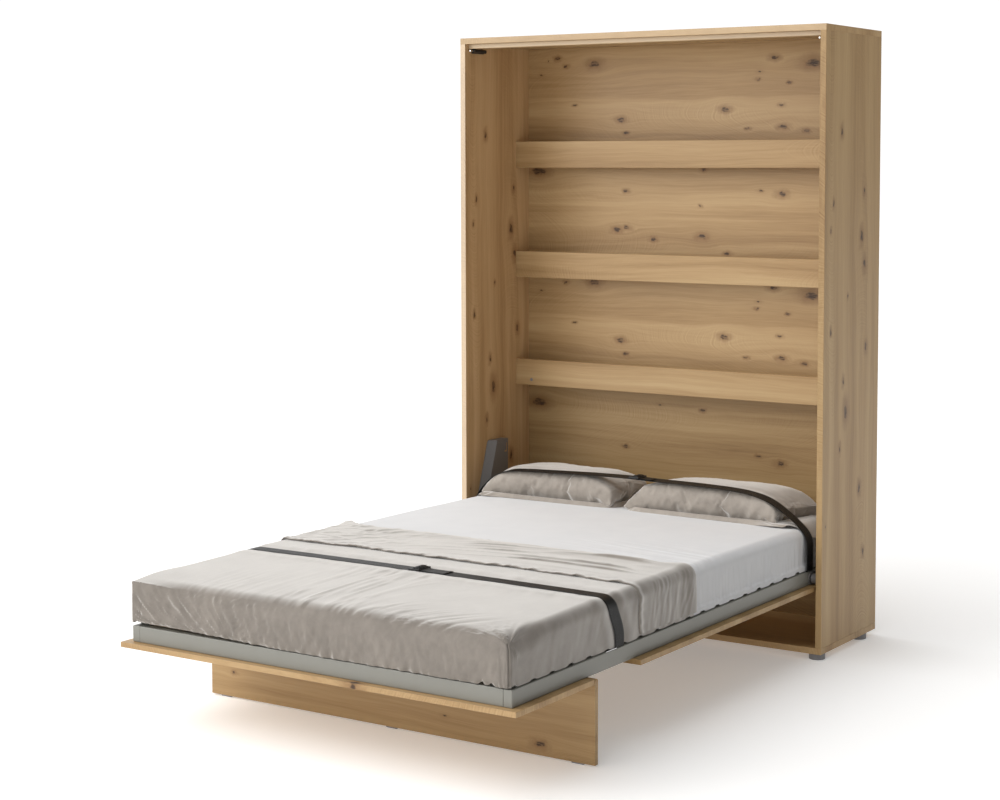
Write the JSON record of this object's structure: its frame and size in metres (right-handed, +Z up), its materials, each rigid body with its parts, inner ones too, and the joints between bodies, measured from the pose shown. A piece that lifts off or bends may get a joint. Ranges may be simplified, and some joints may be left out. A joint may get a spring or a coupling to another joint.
{
  "type": "murphy wall bed",
  "caption": "Vertical fold-down wall bed: open oak-finish cabinet with a steel bed frame, slats, mattress and bedding that pivots down onto a folding leg board.",
  "frame": {"origin": "on the floor, at the centre of the opened-out object's bounding box", "axes": "+Z up, +Y from the foot of the opened bed towards the wall, +X to the right for someone looking at the cabinet from the foot of the bed"},
  "size_m": [1.51, 2.304, 2.18],
  "materials": {
    "oak_decor_board": "satin",
    "slat_wood": "satin",
    "frame_paint": "satin",
    "mechanism_paint": "satin",
    "strut_paint": "satin",
    "polished_steel": "polished",
    "bush_plastic": "matte",
    "cap_plastic": "matte",
    "foot_plastic": "satin",
    "latch_plastic": "matte",
    "taupe_fabric": "matte",
    "white_sheet": "matte",
    "strap_webbing": "matte"
  },
  "bodies": {
    "cabinet": {"side_panel_left": "oak_decor_board", "side_panel_right": "oak_decor_board", "top_panel": "oak_decor_board", "bottom_panel": "oak_decor_board", "back_board_lower": "oak_decor_board", "back_board_lower_middle": "oak_decor_board", "back_board_upper_middle": "oak_decor_board", "back_board_upper": "oak_decor_board", "back_joint_strips": "oak_decor_board", "cross_rail_lower": "oak_decor_board", "cross_rail_middle": "oak_decor_board", "cross_rail_upper": "oak_decor_board", "rail_screw_caps": "foot_plastic", "stop_batten": "oak_decor_board", "feet": "foot_plastic", "mechanism_plate_left": "mechanism_paint", "mechanism_plate_right": "mechanism_paint", "mechanism_screws": "polished_steel", "pivot_bush_left": "bush_plastic", "pivot_bush_right": "bush_plastic", "mechanism_cover_left": "mechanism_paint", "mechanism_cover_right": "mechanism_paint", "latch_body_left": "latch_plastic", "latch_body_right": "latch_plastic"},
    "bed": {"side_rail_left": "frame_paint", "side_rail_right": "frame_paint", "foot_rail": "frame_paint", "head_rail": "frame_paint", "cross_tubes": "frame_paint", "centre_beam": "frame_paint", "slats": "slat_wood", "slat_end_caps": "cap_plastic", "foot_panel": "oak_decor_board", "middle_panel": "oak_decor_board", "panel_screws": "polished_steel", "crank_arm_left": "mechanism_paint", "crank_arm_right": "mechanism_paint", "leg_hinge_ears": "frame_paint", "strap_anchors": "polished_steel", "mattress": "white_sheet", "bed_cover": "taupe_fabric", "cover_fold": "taupe_fabric", "pillow_left": "taupe_fabric", "pillow_right": "taupe_fabric", "foot_strap": "strap_webbing", "foot_strap_buckle": "latch_plastic", "pillow_strap": "strap_webbing", "pillow_strap_buckle": "latch_plastic"},
    "leg": {"leg_board": "oak_decor_board", "leg_hinge_pins": "polished_steel", "leg_glides": "foot_plastic"},
    "gas_cylinder_left": {"strut_cylinder_left": "strut_paint", "strut_gland_left": "strut_paint"},
    "gas_rod_left": {"strut_rod_left": "polished_steel"},
    "latch_tip_left": {"latch_plunger_left": "polished_steel"},
    "gas_cylinder_right": {"strut_cylinder_right": "strut_paint", "strut_gland_right": "strut_paint"},
    "gas_rod_right": {"strut_rod_right": "polished_steel"},
    "latch_tip_right": {"latch_plunger_right": "polished_steel"}
  },
  "joints": [
    {"name": "bed_fold", "type": "hinge", "parent": "cabinet", "child": "bed", "pos_m": [0, 0.7265, 0.2765], "axis": [-1, 0, 0], "range_deg": [0, 90]},
    {"name": "leg_fold", "type": "hinge", "parent": "bed", "child": "leg", "pos_m": [0, -0.741, 0.2455], "axis": [1, 0, 0], "range_deg": [0, 90]},
    {"name": "gas_spring_swing_left", "type": "hinge", "parent": "cabinet", "child": "gas_cylinder_left", "pos_m": [-0.717, 0.888, 0.585], "axis": [-1, 0, 0], "range_deg": [0, 7.67]},
    {"name": "gas_rod_slide_left", "type": "slide", "parent": "gas_cylinder_left", "child": "gas_rod_left", "axis": [0, -0.2152, -0.9766], "range_m": [0, 0.12932]},
    {"name": "gas_spring_swing_right", "type": "hinge", "parent": "cabinet", "child": "gas_cylinder_right", "pos_m": [0.717, 0.888, 0.585], "axis": [-1, 0, 0], "range_deg": [0, 7.67]},
    {"name": "gas_rod_slide_right", "type": "slide", "parent": "gas_cylinder_right", "child": "gas_rod_right", "axis": [0, -0.2152, -0.9766], "range_m": [0, 0.12932]},
    {"name": "latch_plunger_left", "type": "slide", "parent": "cabinet", "child": "latch_tip_left", "axis": [0, 1, 0], "range_m": [0, 0.006], "stiffness_N_per_m": 200},
    {"name": "latch_plunger_right", "type": "slide", "parent": "cabinet", "child": "latch_tip_right", "axis": [0, 1, 0], "range_m": [0, 0.006], "stiffness_N_per_m": 200}
  ],
  "couplings": [
    {"joint": "gas_spring_swing_left", "follows": "bed_fold", "ratio": 0.084978},
    {"joint": "gas_rod_slide_left", "follows": "bed_fold", "m_per_rad": 0.0822},
    {"joint": "gas_spring_swing_right", "follows": "bed_fold", "ratio": 0.084978},
    {"joint": "gas_rod_slide_right", "follows": "bed_fold", "m_per_rad": 0.0822}
  ]
}
